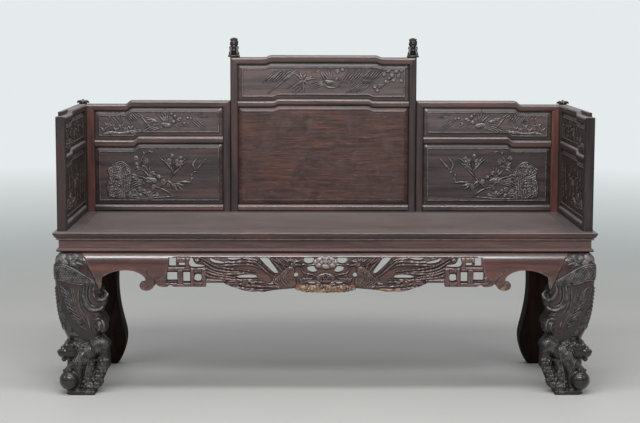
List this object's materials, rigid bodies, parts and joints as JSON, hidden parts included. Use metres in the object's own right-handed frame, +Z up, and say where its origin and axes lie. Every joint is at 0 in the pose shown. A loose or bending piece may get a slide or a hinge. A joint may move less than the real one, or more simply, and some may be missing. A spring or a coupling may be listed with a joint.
{
  "type": "luohan daybed",
  "caption": "Carved rosewood luohan daybed: board seat on cabriole lion-foot legs, pierced apron, and low three-sided frame-and-panel screens with a raised centre",
  "frame": {"origin": "on the floor, at the middle of the length and of the depth", "axes": "+X along the seat to the right as one faces it from the front, +Y to the back screen, +Z up"},
  "size_m": [1.918, 0.672, 1.2586],
  "materials": {
    "rosewood_frame": "polished rosewood rails and posts, waxed, edges worn paler",
    "rosewood_panel": "relief-carved rosewood panels, waxed satin with grey sheen",
    "rosewood_seat": "dusty grey-brown seat boards, fine lengthwise grain, dull wax",
    "rosewood_apron": "pierced and carved reddish rosewood, golden where it is worn",
    "rosewood_carving": "deep-carved dark rosewood, polished highlights",
    "rosewood_base": "plain polished rosewood",
    "rosewood_inner": "planed, unpolished inner wood"
  },
  "bodies": {
    "root": {"apron_back": "rosewood_base", "apron_front": "rosewood_apron", "apron_left": "rosewood_base", "apron_right": "rosewood_base", "back_centre_bottom_rail": "rosewood_frame", "back_centre_left_post": "rosewood_frame", "back_centre_lower_panel": "rosewood_panel", "back_centre_mid_rail": "rosewood_frame", "back_centre_right_post": "rosewood_frame", "back_centre_top_rail": "rosewood_frame", "back_centre_upper_panel": "rosewood_panel", "back_left_bottom_rail": "rosewood_frame", "back_left_corner_post": "rosewood_frame", "back_left_inner_post": "rosewood_frame", "back_left_lower_panel": "rosewood_panel", "back_left_mid_rail": "rosewood_frame", "back_left_top_rail": "rosewood_frame", "back_left_upper_panel": "rosewood_panel", "back_right_bottom_rail": "rosewood_frame", "back_right_corner_post": "rosewood_frame", "back_right_inner_post": "rosewood_frame", "back_right_lower_panel": "rosewood_panel", "back_right_mid_rail": "rosewood_frame", "back_right_top_rail": "rosewood_frame", "back_right_upper_panel": "rosewood_panel", "corner_finials": "rosewood_frame", "left_arm_back_post": "rosewood_frame", "left_arm_bottom_rail": "rosewood_frame", "left_arm_front_post": "rosewood_frame", "left_arm_lower_panel": "rosewood_panel", "left_arm_mid_rail": "rosewood_frame", "left_arm_top_rail": "rosewood_frame", "left_arm_upper_panel": "rosewood_panel", "leg_back_left": "rosewood_base", "leg_back_right": "rosewood_base", "leg_front_left": "rosewood_carving", "leg_front_right": "rosewood_carving", "lion_finials": "rosewood_carving", "right_arm_back_post": "rosewood_frame", "right_arm_bottom_rail": "rosewood_frame", "right_arm_front_post": "rosewood_frame", "right_arm_lower_panel": "rosewood_panel", "right_arm_mid_rail": "rosewood_frame", "right_arm_top_rail": "rosewood_frame", "right_arm_upper_panel": "rosewood_panel", "screen_keys": "rosewood_inner", "seat_boards": "rosewood_seat", "seat_braces": "rosewood_inner", "seat_frame_back_rail": "rosewood_frame", "seat_frame_front_rail": "rosewood_frame", "seat_frame_left_rail": "rosewood_frame", "seat_frame_right_rail": "rosewood_frame", "waist_back": "rosewood_base", "waist_front": "rosewood_base", "waist_left": "rosewood_base", "waist_moulding_back": "rosewood_base", "waist_moulding_front": "rosewood_base", "waist_moulding_left": "rosewood_base", "waist_moulding_right": "rosewood_base", "waist_right": "rosewood_base"}
  },
  "joints": []
}
